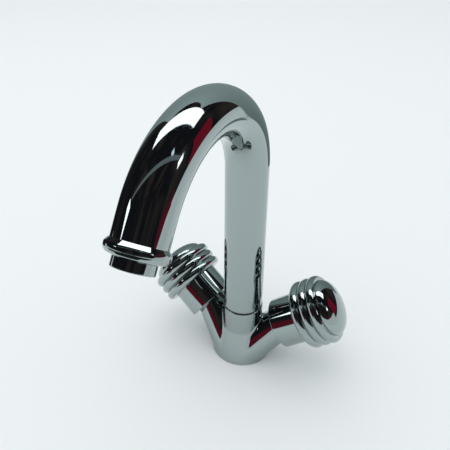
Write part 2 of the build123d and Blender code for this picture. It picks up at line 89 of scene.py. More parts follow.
# %% [markdown]
# ## From bmesh to piece
# Sizes are in millimetres, as in the CAD, and become metres only when a piece is finished. Smooth shading
# with sharp edges kept makes it look turned, and weighted normals keep a flat face flat beside its small
# roundings. The piece then rides on its body and stands for its CAD node.

# %% Pieces
MM = 0.001
SHARP_ANGLE = 30
UP = Vector((0, 0, 1))
UPRIGHT = Matrix()


def place_along(origin, direction, up):
    """Matrix that puts a part turned about Z onto an axis."""
    across = direction.cross(up).normalized()
    turn = Matrix((up, across, direction)).transposed().to_4x4()
    return Matrix.Translation(origin) @ turn


def add_object(name, bm):
    """Write a bmesh to a new object in the scene, free it and give the object."""
    mesh = bpy.data.meshes.new(name)
    bm.to_mesh(mesh)
    bm.free()
    thing = bpy.data.objects.new(name, mesh)
    bpy.context.scene.collection.objects.link(thing)
    return thing


def piece(name, bm, body, nodes, matrix=UPRIGHT, sharp=SHARP_ANGLE):
    """Turn a bmesh in mm into a shown piece in metres that rides on a body and stands for its nodes."""
    bmesh.ops.transform(bm, matrix=matrix, verts=bm.verts)
    bmesh.ops.scale(bm, vec=(MM, MM, MM), verts=bm.verts)
    thing = add_object(name, bm)
    thing.data.shade_smooth()
    thing.data.set_sharp_from_angle(angle=radians(sharp))
    even = thing.modifiers.new("even_shading", "WEIGHTED_NORMAL")
    even.keep_sharp = True
    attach(thing, body)
    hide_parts(*nodes)
    print(name, len(thing.data.polygons), "faces")


print("a millimetre is", MM, "Blender units")

# %% [markdown]
# ## The arms
# Both arms leave the body at the same lift and are swept back a little. A few functions give an arm's axis
# and the matrix that puts a turned part on it, so both sides share every shape below.

# %% Arm directions
arm_height = 10.8
arm_lift, arm_sweep = radians(34.0), radians(12.0)
SIDES = ((-1, "hot"), (1, "cold"))


def arm_axis(side):
    """Unit vector outwards along an arm."""
    return Vector((side * cos(arm_lift) * cos(arm_sweep), cos(arm_lift) * sin(arm_sweep), sin(arm_lift)))


def arm_up(side):
    """Unit vector square to an arm, in its upright plane."""
    return Vector((-side * sin(arm_lift) * cos(arm_sweep), -sin(arm_lift) * sin(arm_sweep), cos(arm_lift)))


def arm_point(side, along):
    """Point on an arm's axis, at a distance from the column's axis."""
    return UP * arm_height + arm_axis(side) * along


def on_arm(side):
    """Matrix that puts a turned part on an arm."""
    return place_along(arm_point(side, 0), arm_axis(side), arm_up(side))


print("arm axes:", [tuple(round(v, 4) for v in arm_axis(side)) for side, name in SIDES])

# %% [markdown]
# ## The body
# The body is one casting: a skirt, a column and two arms that run into each other in soft polished hollows.
# Modelling those hollows by hand is slow, so the work starts from closed shapes that overlap, each a little
# too long. The skirt and column are turned. An arm is three circles, bridged and capped, wide inside the
# base and narrow at the boss that carries the valve.

# %% Body stock
base_radius, rim_height = 25.0, 2.0
column_radius, skirt_height, joint_height = 16.4, 27.0, 48.3
boss_radius, sleeve_start, boss_end = 13.75, 40.1, 44.3
OVERRUN = 5.0
ROOT_INSET, ROOT_HEIGHT = 0.6, 1.0


def circle_edges(bm, radius, matrix, steps=TURN_STEPS):
    """Add a circle to a bmesh and give its edges."""
    made = bmesh.ops.create_circle(bm, cap_ends=False, segments=steps, radius=radius, matrix=matrix)
    return list(dict.fromkeys(edge for vert in made["verts"] for edge in vert.link_edges))


def add_arm_stock(bm, side):
    """Add one arm as a closed shell, from inside the base to past its end."""
    outward = Vector((side * cos(arm_sweep), sin(arm_sweep), 0))
    root = place_along(UP * ROOT_HEIGHT, UP, outward)
    boss = place_along(arm_point(side, sleeve_start), arm_axis(side), -arm_up(side))
    tip = boss @ Matrix.Translation(UP * (boss_end - sleeve_start + OVERRUN))
    places = ((base_radius - ROOT_INSET, root), (boss_radius, boss), (boss_radius, tip))
    rings = [circle_edges(bm, radius, matrix) for radius, matrix in places]
    bmesh.ops.bridge_loops(bm, edges=rings[0] + rings[1])
    bmesh.ops.bridge_loops(bm, edges=rings[1] + rings[2])
    bmesh.ops.holes_fill(bm, edges=rings[0] + rings[2], sides=0)


stock_bm = turned_mesh([
    (0, -OVERRUN), (base_radius, -OVERRUN), (base_radius, rim_height), (column_radius, skirt_height),
    (column_radius, joint_height + OVERRUN), (0, joint_height + OVERRUN)])
for side, name in SIDES:
    add_arm_stock(stock_bm, side)
bmesh.ops.recalc_face_normals(stock_bm, faces=stock_bm.faces)
print("stock:", len(stock_bm.faces), "faces")

# %% [markdown]
# A voxel remesh melts the shapes into one skin. Smoothing then does what polishing does on the real
# casting: a few turns everywhere take the voxel steps out, and many more near the sharp inner corners open
# these into soft hollows. Smoothing the whole skin that often would wear the arms thin.

# %% Melted skin and hollows
VOXEL = 0.55
SKIN_TURNS, HOLLOW_TURNS = 4, 26
CORNER_ANGLE, CORNER_RINGS = radians(9), 4
LOWEST_HOLLOW = 8.0


def melted(bm):
    """Voxel remesh of a bmesh in mm, as a new bmesh."""
    thing = add_object("stock", bm)
    mesh = thing.data
    remesh = thing.modifiers.new("melt", "REMESH")
    remesh.mode = "VOXEL"
    remesh.voxel_size = VOXEL
    result = bmesh.new()
    result.from_object(thing, bpy.context.evaluated_depsgraph_get())
    bpy.data.objects.remove(thing)
    bpy.data.meshes.remove(mesh)
    return result


def inner_corners(bm):
    """Vertices in the sharp inner corners of a skin, and some rings of neighbours round them."""
    found = {vert for edge in bm.edges if edge.is_manifold and edge.calc_face_angle_signed(0) < -CORNER_ANGLE
             for vert in edge.verts}
    found = {vert for vert in found if LOWEST_HOLLOW < vert.co.z < joint_height}
    for ring in range(CORNER_RINGS):
        found |= {edge.other_vert(vert) for vert in found for edge in vert.link_edges}
    return list(found)


def soften(bm, verts, turns):
    """Move vertices halfway to the middle of their neighbours, a number of times."""
    for turn in range(turns):
        bmesh.ops.smooth_vert(bm, verts=verts, factor=0.5, use_axis_x=True, use_axis_y=True, use_axis_z=True)


body_bm = melted(stock_bm)
soften(body_bm, body_bm.verts, SKIN_TURNS)
corners = inner_corners(body_bm)
soften(body_bm, corners, HOLLOW_TURNS)
soften(body_bm, body_bm.verts, SKIN_TURNS)
print("hollow vertices:", len(corners), "of", len(body_bm.verts))

# %% [markdown]
# Flat cuts give the true ends, as a machinist faces a casting. Each cut leaves an open rim. The two bosses
# are closed at once. The top, where the spout turns, first gets a rounded edge, built ring by ring. The
# base is cut last and stays open, because its underside needs more than a plain face.

# %% Body ends
EDGE_ROUNDING, EDGE_STEPS = 0.6, 4


def cut_open(bm, point, normal):
    """Cut a closed skin by a plane, drop what is beyond it and give the open rim's edges."""
    geom = bm.verts[:] + bm.edges[:] + bm.faces[:]
    cut = bmesh.ops.bisect_plane(bm, geom=geom, dist=1e-5, plane_co=point, plane_no=normal, clear_outer=True)
    return [edge for edge in cut["geom_cut"] if isinstance(edge, bmesh.types.BMEdge)]


def extruded(bm, ring, move):
    """Extrude a ring of edges by a vector and give the new ring."""
    out = bmesh.ops.extrude_edge_only(bm, edges=ring)["geom"]
    moved = {item for item in out if isinstance(item, bmesh.types.BMVert)}
    bmesh.ops.translate(bm, vec=move, verts=list(moved))
    return [item for item in out if isinstance(item, bmesh.types.BMEdge)
            and all(vert in moved for vert in item.verts)]


def narrowed(bm, ring, x, y, ratio, rise=0.0):
    """Extrude a ring of edges upwards, scale the new one about (x, y) and give it."""
    inner = extruded(bm, ring, UP * rise)
    verts = list({vert for edge in inner for vert in edge.verts})
    bmesh.ops.scale(bm, vec=(ratio, ratio, 1), space=Matrix.Translation((-x, -y, 0)), verts=verts)
    return inner


for side, name in SIDES:
    boss_rim = cut_open(body_bm, arm_point(side, boss_end), arm_axis(side))
    bmesh.ops.holes_fill(body_bm, edges=boss_rim, sides=0)
top_ring = cut_open(body_bm, UP * (joint_height - EDGE_ROUNDING), UP)
for step in range(EDGE_STEPS):
    here, there = (pi / 2 * turn / EDGE_STEPS for turn in (step, step + 1))
    near, far = (column_radius - EDGE_ROUNDING * (1 - cos(turn)) for turn in (here, there))
    top_ring = narrowed(body_bm, top_ring, 0, 0, far / near, EDGE_ROUNDING * (sin(there) - sin(here)))
bmesh.ops.holes_fill(body_bm, edges=top_ring, sides=0)
base_rim = cut_open(body_bm, Vector((0, 0, 0)), -UP)
print("base rim:", len(base_rim), "edges")

# %% [markdown]
# The underside carries what the deck hides: a groove for the seal, two threaded water inlets and the
# stud's hole. Each is a circle in the flat face. A ring that is extruded up and then scaled in makes a wall
# and a step, and `triangle_fill` closes the flat face round all of them.

# %% Underside
groove_outer, groove_inner, groove_depth = 23.7, 20.7, 2.0
INLET = {"radius": 4.5, "depth": 12.0, "drill_radius": 4.0, "drill_top": 22.5}
STUD_HOLE = {"radius": 3.35, "depth": 15.0, "drill_radius": 2.6, "drill_top": 16.0}
HOLES = ((-10.5, 0.0, INLET), (10.5, 0.0, INLET), (0.0, 12.5, STUD_HOLE))
HOLE_STEPS = 64


def sink_hole(bm, x, y, hole):
    """Sink a threaded hole with a narrower drilling at its end, and give its mouth's edges."""
    mouth = circle_edges(bm, hole["radius"], Matrix.Translation((x, y, 0)), HOLE_STEPS)
    step = narrowed(bm, extruded(bm, mouth, UP * hole["depth"]), x, y, hole["drill_radius"] / hole["radius"])
    end = extruded(bm, step, UP * (hole["drill_top"] - hole["depth"]))
    bmesh.ops.holes_fill(bm, edges=end, sides=0)
    return mouth


outer_ring = circle_edges(body_bm, groove_outer, UPRIGHT)
bmesh.ops.bridge_loops(body_bm, edges=base_rim + outer_ring)
groove_wall = extruded(body_bm, outer_ring, UP * groove_depth)
floor_edges = extruded(body_bm, narrowed(body_bm, groove_wall, 0, 0, groove_inner / groove_outer),
                       -UP * groove_depth)
for x, y, hole in HOLES:
    floor_edges += sink_hole(body_bm, x, y, hole)
bmesh.ops.triangle_fill(body_bm, edges=floor_edges, use_beauty=True)
bmesh.ops.recalc_face_normals(body_bm, faces=body_bm.faces)
print("open edges left:", sum(not edge.is_manifold for edge in body_bm.edges))
piece("body_casting", body_bm, "root", ["mixer_body"], sharp=40)

# %% [markdown]
# ## The spout
# The tube is a circle carried along its centre line: `extrude` for the straight runs and `spin` for the two
# bends, each about its own centre, so that their radii meet without a kink. A curve with a round bevel
# would be quicker, but its bends are hard to hold to exact radii. `solidify` gives the skin its wall,
# inwards.

# %% Spout tube
tube_start, tube_radius, tube_wall = 60.3, 16.0, 1.6
riser_top, drop_length = 174.8, 14.3
BENDS = ({"radius": 54.8, "angle": 44.0}, {"radius": 72.8, "angle": 99.8})
RISER_PARTS, DROP_PARTS = 30, 6
BEND_STEP = 1.5


def run(bm, ring, way, length, parts):
    """Extrude a ring straight on in equal parts and give the last ring."""
    for part in range(parts):
        ring = extruded(bm, ring, way * (length / parts))
    return ring


def bend(bm, ring, centre, angle):
    """Spin a ring about a level axis through a centre and give the last ring."""
    out = bmesh.ops.spin(bm, geom=ring, cent=centre, axis=(1, 0, 0), angle=radians(angle),
                         steps=round(angle / BEND_STEP))
    return [item for item in out["geom_last"] if isinstance(item, bmesh.types.BMEdge)]


def spout_tube():
    """The bent tube as a bmesh with its wall, and its end's place and direction."""
    bm = bmesh.new()
    here, way = UP * riser_top, UP
    ring = circle_edges(bm, tube_radius, Matrix.Translation(UP * tube_start))
    ring = run(bm, ring, way, riser_top - tube_start, RISER_PARTS)
    for arc in BENDS:
        inward = Matrix.Rotation(radians(90), 3, "X") @ way
        centre = here + inward * arc["radius"]
        ring = bend(bm, ring, centre, arc["angle"])
        turn = Matrix.Rotation(radians(arc["angle"]), 3, "X")
        here = centre + turn @ (here - centre)
        way = turn @ way
    run(bm, ring, way, drop_length, DROP_PARTS)
    bmesh.ops.recalc_face_normals(bm, faces=bm.faces)
    bmesh.ops.solidify(bm, geom=bm.faces[:], thickness=tube_wall)
    return bm, here + way * drop_length, way


tube_bm, tube_end, outlet_way = spout_tube()
around_axis = [vert.co.xy.length for vert in tube_bm.verts if vert.co.z < tube_start + 1]
print("wall from", round(min(around_axis), 2), "to", round(max(around_axis), 2))
piece("bent_tube", tube_bm, "spout", ["spout_tube"])

# %% [markdown]
# The foot is the collar between the joint and the tube. Only its outer band shows, a hair under the tube's
# size, so its two ends read as fine dark rings. The neck above it hides in the tube. It is turned, with
# both outer edges broken.

# %% Spout foot
foot_base, foot_top = 49.33, 71.3
foot_bore, foot_radius, spigot_radius = 11.05, 15.8, 14.35
foot_bm = turned_mesh([
    (foot_bore, foot_base), (foot_radius, foot_base, 0.5), (foot_radius, tube_start, 0.45),
    (spigot_radius, tube_start), (spigot_radius, foot_top), (foot_bore, foot_top)])
piece("foot_collar", foot_bm, "spout", ["spout_foot"])

# %% [markdown]
# ## The nozzle
# A rounded bead ends the tube, fuller below its middle than above. One large bevel would make an even arc,
# so four corners of its profile are each rounded until they run into each other. Inside is the aerator's
# thread, and above it a narrower neck goes up into the tube.

# %% Nozzle bead
bead_half_length = 5.0
thread_radius, thread_end = 11.5, -3.0
neck_bore, neck_end = 10.0, -12.0
outlet_point = tube_end + outlet_way * bead_half_length
outlet = place_along(outlet_point, outlet_way, Vector((1, 0, 0)))
bead_curve = [(18.4, 0.0, 2.6), (18.3, 2.9, 3.0), (16.6, 4.9, 2.2), (14.2, 5.7, 1.0)]
nozzle_bm = turned_mesh([(tube_radius, -bead_half_length), (tube_radius, -2.9)] + bead_curve + [
    (12.5, 5.8), (thread_radius, 5.8), (thread_radius, thread_end), (neck_bore, thread_end),
    (neck_bore, neck_end), (spigot_radius, neck_end), (spigot_radius, -bead_half_length)])
piece("nozzle_bead", nozzle_bm, "spout", ["spout_nozzle"], outlet)
print("outlet at", [round(v, 2) for v in outlet_point], "way", [round(v, 3) for v in outlet_way])

# %% [markdown]
# The aerator's sleeve screws into the bead. Its lower half stands proud, a little wider than the thread,
# and a lip inside its end holds the insert. The lower edge has the largest rounding, because it catches the
# light.

# %% Aerator sleeve
sleeve_thread_radius, sleeve_thread_start = 11.45, -1.5
aerator_radius, aerator_shoulder, aerator_end = 12.4, 5.0, 12.0
aerator_bore, lip_bore, lip_height = 9.8, 9.0, 1.2
aerator_bm = turned_mesh([
    (aerator_bore, sleeve_thread_start), (sleeve_thread_radius, sleeve_thread_start),
    (sleeve_thread_radius, aerator_shoulder), (aerator_radius, aerator_shoulder, 0.2),
    (aerator_radius, aerator_end, 0.7), (lip_bore, aerator_end, 0.25), (lip_bore, aerator_end - lip_height),
    (aerator_bore, aerator_end - lip_height)])
piece("aerator_sleeve", aerator_bm, "spout", ["aerator_housing"], outlet)

# %% [markdown]
# ## Cover sleeves
# A thin plain sleeve hides each valve. It is a tube with an end wall that the boss passes through, turned
# like the rest. Its heights, and those of the handles, are distances along the arm's axis.

# %% Cover sleeve's outline
sleeve_radius, sleeve_bore, sleeve_tip = 20.6, 13.9, 64.2
sleeve_wall, sleeve_end_wall = 1.5, 1.6
sleeve_outline = [
    (sleeve_bore, sleeve_start), (sleeve_radius, sleeve_start, 0.5), (sleeve_radius, sleeve_tip, 0.4),
    (sleeve_radius - sleeve_wall, sleeve_tip), (sleeve_radius - sleeve_wall, sleeve_start + sleeve_end_wall),
    (sleeve_bore, sleeve_start + sleeve_end_wall)]
print("sleeve:", round(sleeve_tip - sleeve_start, 1), "mm long")

# %% [markdown]
# ## Handles
# A handle has three round beads with sharp valleys between them. A chord with its middle pushed out and
# bevelled would come out flat on top, so each bead's points lie on one small circle through both its
# valleys. Inside, a web with a screw hole carries the handle, and a lip runs over the cover sleeve.

# %% Handle's outline
handle_start = 62.6
bead_radius, bead_pitch, bead_height, bead_count = 27.7, 7.2, 2.1, 3
BEAD_STEPS = 14
cap_seat_radius, web_top, web_base = 21.7, 79.2, 76.2
screw_hole, hub_radius, hub_base = 2.1, 7.5, 75.0
handle_bore, lip_top, lip_radius = 23.0, 65.2, 20.95
beads_end = handle_start + bead_count * bead_pitch


def bead_arc(start):
    """Points (radius, along) of one bead, from one valley up to the next."""
    half = bead_pitch / 2
    circle = (half * half + bead_height * bead_height) / (2 * bead_height)
    reach = acos((circle - bead_height) / circle)
    turns = [reach * (2 * step / BEAD_STEPS - 1) for step in range(BEAD_STEPS)]
    return [(bead_radius - circle + circle * cos(turn), start + half + circle * sin(turn)) for turn in turns]


beads = [point for number in range(bead_count) for point in bead_arc(handle_start + number * bead_pitch)]
beads[0] = (*beads[0], 0.2)
handle_outline = beads + [
    (bead_radius - bead_height, beads_end, 0.3), (cap_seat_radius, beads_end), (cap_seat_radius, web_top),
    (screw_hole, web_top), (screw_hole, hub_base), (hub_radius, hub_base), (hub_radius, web_base),
    (handle_bore, web_base), (handle_bore, lip_top), (lip_radius, lip_top), (lip_radius, handle_start, 0.2)]
print("beads end along the arm:", round(beads_end, 1))

# %% [markdown]
# A dome snaps over the screw. It is a quarter of an ellipse from the rim to the crown, hollow below, with a
# skirt that goes down into the handle. A bevel only makes a circle's arc, so the points are set on the
# ellipse.

# %% Dome's outline
cap_radius, cap_height = 23.1, 10.6
hollow_height, skirt_bore, skirt_radius, skirt_length = 8.6, 19.6, 21.6, 3.6
DOME_STEPS = 22
dome_turns = [pi / 2 * step / DOME_STEPS for step in range(DOME_STEPS)]
dome_arc = [(cap_radius * cos(turn), beads_end + cap_height * sin(turn)) for turn in dome_turns]
skirt_end = beads_end - skirt_length
cap_outline = [
    (skirt_radius, beads_end), (skirt_radius, skirt_end), (skirt_bore, skirt_end), (skirt_bore, beads_end),
    (0.0, beads_end + hollow_height), (0.0, beads_end + cap_height)] + dome_arc[::-1]
print("dome ends along the arm:", round(beads_end + cap_height, 1))

# %% [markdown]
# Both arms carry the same three pieces, so one loop turns and places them. The knob and dome ride on the
# handle that the joint turns, and the cover sleeve stands still with the body.

# %% Pieces on both arms
for side, name in SIDES:
    knob_bm, dome_bm, sleeve_bm = map(turned_mesh, (handle_outline, cap_outline, sleeve_outline))
    piece(f"{name}_knob", knob_bm, f"{name}_handle", [f"{name}_handle"], on_arm(side))
    piece(f"{name}_dome", dome_bm, f"{name}_handle", [f"{name}_handle_cap"], on_arm(side))
    piece(f"{name}_sleeve", sleeve_bm, "root", [f"{name}_shroud"], on_arm(side))

# %% [markdown]
# ## Effects
# What makes metal look real is how slightly it fails to be perfect: a haze of wiping that changes the
# roughness, and a shallow ripple left by polishing. Hidden parts need a slow drift of colour too. These are
# node groups, so each material can take them with its own values. Four short helpers build and place nodes.

# %% Node helpers


def set_inputs(node, **values):
    """Set a node's inputs by name, with an underscore for each space, and give the node."""
    for label, value in values.items():
        node.inputs[label.replace("_", " ")].default_value = value
    return node


def add_node(tree, kind, **values):
    """Add a node to a tree, with its inputs set."""
    return set_inputs(tree.nodes.new(kind), **values)


def add_group(material, group, **values):
    """Place a node group in a material, with its inputs set."""
    node = material.node_tree.nodes.new("ShaderNodeGroup")
    node.node_tree = group
    return set_inputs(node, **values)


def group_shell(name, output, **inputs):
    """An empty shader node group with one output. An input's default of three numbers makes it a vector."""
    group = bpy.data.node_groups.new(name, "ShaderNodeTree")
    for label, default in inputs.items():
        kind = "NodeSocketVector" if isinstance(default, tuple) else "NodeSocketFloat"
        socket = group.interface.new_socket(name=label, in_out="INPUT", socket_type=kind)
        socket.default_value = default
    group.interface.new_socket(name=output, in_out="OUTPUT", socket_type="NodeSocketFloat")
    return group, group.nodes.new("NodeGroupInput"), group.nodes.new("NodeGroupOutput")


print("node helpers:", [helper.__name__ for helper in (set_inputs, add_node, add_group, group_shell)])

# %% [markdown]
# Soft noise on Object coordinates stays fixed to the piece when it turns. The ripple and the drift are the
# noise itself, at different detail. The haze stretches it between a low and a high roughness.

# %% Haze, ripple and drift


def soft_cloud(name, output, scale, detail):
    """A group that gives soft noise on Object coordinates."""
    group, taken, given = group_shell(name, output, Scale=scale)
    place = add_node(group, "ShaderNodeTexCoord")
    cloud = add_node(group, "ShaderNodeTexNoise", Detail=detail)
    group.links.new(place.outputs["Object"], cloud.inputs["Vector"])
    group.links.new(taken.outputs["Scale"], cloud.inputs["Scale"])
    group.links.new(cloud.outputs["Fac"], given.inputs[output])
    return group


def make_haze():
    """Roughness that drifts between two values in soft clouds, as on wiped metal."""
    group, taken, given = group_shell("wiping_haze", "Roughness", Scale=40.0, Low=0.03, High=0.08)
    place = add_node(group, "ShaderNodeTexCoord")
    cloud = add_node(group, "ShaderNodeTexNoise", Detail=4.0, Distortion=0.6)
    group.links.new(place.outputs["Object"], cloud.inputs["Vector"])
    group.links.new(taken.outputs["Scale"], cloud.inputs["Scale"])
    spread = add_node(group, "ShaderNodeMapRange", From_Min=0.35, From_Max=0.7)
    group.links.new(cloud.outputs["Fac"], spread.inputs["Value"])
    group.links.new(taken.outputs["Low"], spread.inputs["To Min"])
    group.links.new(taken.outputs["High"], spread.inputs["To Max"])
    group.links.new(spread.outputs["Result"], given.inputs["Roughness"])
    return group


haze_group = make_haze()
ripple_group = soft_cloud("polishing_ripple", "Height", scale=60.0, detail=1.0)
drift_group = soft_cloud("colour_drift", "Mask", scale=200.0, detail=3.0)
print("groups:", haze_group.name, ripple_group.name, drift_group.name)

# %% [markdown]
# ## Chrome
# Chrome plate is a bright metal. Here its colour is darkened and tinted grey-green, a painted reflection of
# the grey-green room. The tube is drawn and polished long, so its ripple is wide and faint. The casting and
# the knobs are worked by hand and take a finer, stronger one. An image texture could give the same marks, but
# noise has no seams and needs no unwrapping.

# %% Chrome material
# Darkened, grey-green chrome colour: a painted reflection of the grey-green room.
CHROME_WITH_PAINTED_REFLECTION = (0.36, 0.415, 0.412, 1)
CHROME_GLOSS = 0.02
RIPPLE_HEIGHT = 0.0002


def plain_material(name, **values):
    """A new material, with inputs of its Principled shader set, and that shader."""
    material = bpy.data.materials.new(name)
    material.use_nodes = True
    return material, set_inputs(material.node_tree.nodes["Principled BSDF"], **values)


def bumped(material, height, strength, distance):
    """Feed a height into the material's normal through a Bump node."""
    nodes, links = material.node_tree.nodes, material.node_tree.links
    bump = add_node(material.node_tree, "ShaderNodeBump", Strength=strength, Distance=distance)
    links.new(height, bump.inputs["Height"])
    links.new(bump.outputs["Normal"], nodes["Principled BSDF"].inputs["Normal"])


def chrome(name, haze_scale, haze_high, ripple_scale, ripple_strength):
    """Chrome plate with wiping haze and polishing ripple."""
    material, shader = plain_material(name, Base_Color=CHROME_WITH_PAINTED_REFLECTION, Metallic=1.0)
    haze = add_group(material, haze_group, Scale=haze_scale, Low=CHROME_GLOSS, High=haze_high)
    material.node_tree.links.new(haze.outputs["Roughness"], shader.inputs["Roughness"])
    ripple = add_group(material, ripple_group, Scale=ripple_scale)
    bumped(material, ripple.outputs["Height"], ripple_strength, RIPPLE_HEIGHT)
    return material


tube_chrome = chrome("tube_chrome", haze_scale=35, haze_high=0.06, ripple_scale=45, ripple_strength=0.035)
cast_chrome = chrome("cast_chrome", haze_scale=50, haze_high=0.08, ripple_scale=70, ripple_strength=0.08)
turned_chrome = chrome("turned_chrome", haze_scale=60, haze_high=0.06, ripple_scale=90, ripple_strength=0.04)
knob_chrome = chrome("knob_chrome", haze_scale=60, haze_high=0.08, ripple_scale=150, ripple_strength=0.12)
CHROMED = {
    "bent_tube": tube_chrome, "body_casting": cast_chrome, "foot_collar": turned_chrome,
    "nozzle_bead": turned_chrome, "aerator_sleeve": turned_chrome, "hot_sleeve": turned_chrome,
    "cold_sleeve": turned_chrome, "hot_knob": knob_chrome, "cold_knob": knob_chrome, "hot_dome": knob_chrome,
    "cold_dome": knob_chrome}
for name, material in CHROMED.items():
    bpy.data.objects[name].data.materials.append(material)
print("chromed:", len(CHROMED), "pieces")

# %% [markdown]
# ## Inner parts
# Valves, seals, screws and the aerator's insert keep their CAD meshes, but none is left plain. Turned brass
# and steel keep the fine rings of the tool, square to their axis. Moulded rubber and plastic keep an even
# pebbled grain. Two more groups give these heights.

# %% Tool rings and mould grain


def make_rings():
    """Height of the fine rings that a lathe tool leaves, square to an axis."""
    group, taken, given = group_shell("turning_rings", "Height", Axis=(0.0, 0.0, 1.0), Scale=3000.0)
    place = add_node(group, "ShaderNodeTexCoord")
    along = add_node(group, "ShaderNodeVectorMath")
    along.operation = "DOT_PRODUCT"
    group.links.new(place.outputs["Object"], along.inputs[0])
    group.links.new(taken.outputs["Axis"], along.inputs[1])
    ring = add_node(group, "ShaderNodeTexNoise", Detail=2.0)
    ring.noise_dimensions = "1D"
    group.links.new(along.outputs["Value"], ring.inputs["W"])
    group.links.new(taken.outputs["Scale"], ring.inputs["Scale"])
    group.links.new(ring.outputs["Fac"], given.inputs["Height"])
    return group


def make_grain():
    """Height of the fine pebbled grain of a mould."""
    group, taken, given = group_shell("moulded_grain", "Height", Scale=2500.0, Spread=0.6)
    place = add_node(group, "ShaderNodeTexCoord")
    pebble = add_node(group, "ShaderNodeTexVoronoi")
    pebble.feature = "SMOOTH_F1"
    group.links.new(place.outputs["Object"], pebble.inputs["Vector"])
    group.links.new(taken.outputs["Scale"], pebble.inputs["Scale"])
    group.links.new(taken.outputs["Spread"], pebble.inputs["Randomness"])
    group.links.new(pebble.outputs["Distance"], given.inputs["Height"])
    return group


rings_group, grain_group = make_rings(), make_grain()
print("groups:", rings_group.name, grain_group.name)

# %% [markdown]
# No colour is quite the same all over a part, so each finish drifts between two tones and two roughnesses.
# The table says the rest: the marks are tool rings or grain, with their scale and strength.

# %% Finishes
MARK_HEIGHT = 0.0001
FINISHES = {
    "brass": {"tones": ((0.64, 0.43, 0.17), (0.50, 0.32, 0.12)), "drift": 180, "metallic": 1,
              "roughness": (0.18, 0.34), "rings": 3200, "strength": 0.25},
    "steel": {"tones": ((0.57, 0.58, 0.59), (0.47, 0.48, 0.50)), "drift": 220, "metallic": 1,
              "roughness": (0.20, 0.34), "rings": 4200, "strength": 0.2},
    "rubber": {"tones": ((0.014, 0.014, 0.015), (0.030, 0.029, 0.028)), "drift": 400, "metallic": 0,
               "roughness": (0.55, 0.8), "grain": 2600, "strength": 0.25},
    "ceramic": {"tones": ((0.80, 0.79, 0.76), (0.72, 0.71, 0.67)), "drift": 300, "metallic": 0,
                "roughness": (0.08, 0.2), "grain": 5200, "strength": 0.05},
    "black_plastic": {"tones": ((0.018, 0.018, 0.02), (0.035, 0.035, 0.037)), "drift": 300, "metallic": 0,
                      "roughness": (0.4, 0.6), "grain": 1800, "strength": 0.3},
    "white_plastic": {"tones": ((0.72, 0.73, 0.74), (0.64, 0.65, 0.66)), "drift": 260, "metallic": 0,
                      "roughness": (0.35, 0.55), "grain": 1800, "strength": 0.3}}


def drifting(name, finish):
    """A material whose colour and roughness drift between a finish's two tones and two roughnesses."""
    material, shader = plain_material(name, Metallic=finish["metallic"])
    tree, (light, dark), (low, high) = material.node_tree, finish["tones"], finish["roughness"]
    drift = add_group(material, drift_group, Scale=finish["drift"])
    tone = tree.nodes.new("ShaderNodeMix")
    tone.data_type = "RGBA"
    set_inputs(tone, A=(*light, 1), B=(*dark, 1))
    tree.links.new(drift.outputs["Mask"], tone.inputs["Factor"])
    tree.links.new(tone.outputs["Result"], shader.inputs["Base Color"])
    haze = add_group(material, haze_group, Scale=finish["drift"], Low=low, High=high)
    tree.links.new(haze.outputs["Roughness"], shader.inputs["Roughness"])
    return material


def finished(slot, place, axis):
    """The finish of a record slot for parts along one axis."""
    if slot == "chrome":
        return turned_chrome
    finish = FINISHES[slot]
    material = drifting(f"{slot}_{place}", finish)
    if "rings" in finish:
        marks = add_group(material, rings_group, Axis=tuple(axis), Scale=finish["rings"])
    else:
        marks = add_group(material, grain_group, Scale=finish["grain"])
    bumped(material, marks.outputs["Height"], finish["strength"], MARK_HEIGHT)
    return material


print("finishes:", ", ".join(FINISHES))

# %% [markdown]
# The record names a slot for each part. A part on an arm gets its rings square to that arm, so a slot can
# have three materials: one for each arm and one for what stands upright.

# %% Finishes on the inner parts
AXES = {"hot": arm_axis(-1), "cold": arm_axis(1), "upright": UP}
slots = {part["node"]: part["material_slot"] for part in frame["record"]["subparts"]}
made = {}
for node, thing in frame["nodes"].items():
    place = next((side for side in ("hot", "cold") if node.startswith(side)), "upright")
    key = (slots[node], place)
    if key not in made:
        made[key] = finished(slots[node], place, AXES[place])
    thing.data.materials.clear()
    thing.data.materials.append(made[key])
print("materials:", sorted("_".join(key) for key in made))

# %% [markdown]
# ## Studio
# Polished chrome has hardly a colour of its own: it shows the room. So the room is built from cards, each a
# glowing sheet that only reflections see. A glow shines one plain colour, fades with height, drifts in soft
# clouds like a hung cloth, or shows only from above.

# %% Glow helpers
FOLD_STRETCH = (1.0, 1.0, 0.5)
FOLD_START, FOLD_END = 0.45, 0.75


def glow(name, colour=(1.0, 1.0, 1.0), strength=1.0):
    """A material that shines one plain colour."""
    material = bpy.data.materials.new(name)
    material.use_nodes = True
    tree = material.node_tree
    tree.nodes.clear()
    shine = add_node(tree, "ShaderNodeEmission", Color=(*colour, 1), Strength=strength)
    out = add_node(tree, "ShaderNodeOutputMaterial")
    tree.links.new(shine.outputs[0], out.inputs["Surface"])
    return material


def graded(material, low, high, top):
    """Let a glow fade from one colour on the floor to another at a height in metres."""
    tree = material.node_tree
    place = add_node(tree, "ShaderNodeTexCoord")
    split = add_node(tree, "ShaderNodeSeparateXYZ")
    rise = add_node(tree, "ShaderNodeMapRange", From_Min=0.0, From_Max=top)
    blend = tree.nodes.new("ShaderNodeMix")
    blend.data_type = "RGBA"
    set_inputs(blend, A=(*low, 1), B=(*high, 1))
    tree.links.new(place.outputs["Object"], split.inputs[0])
    tree.links.new(split.outputs["Z"], rise.inputs["Value"])
    tree.links.new(rise.outputs["Result"], blend.inputs["Factor"])
    tree.links.new(blend.outputs["Result"], tree.nodes["Emission"].inputs["Color"])


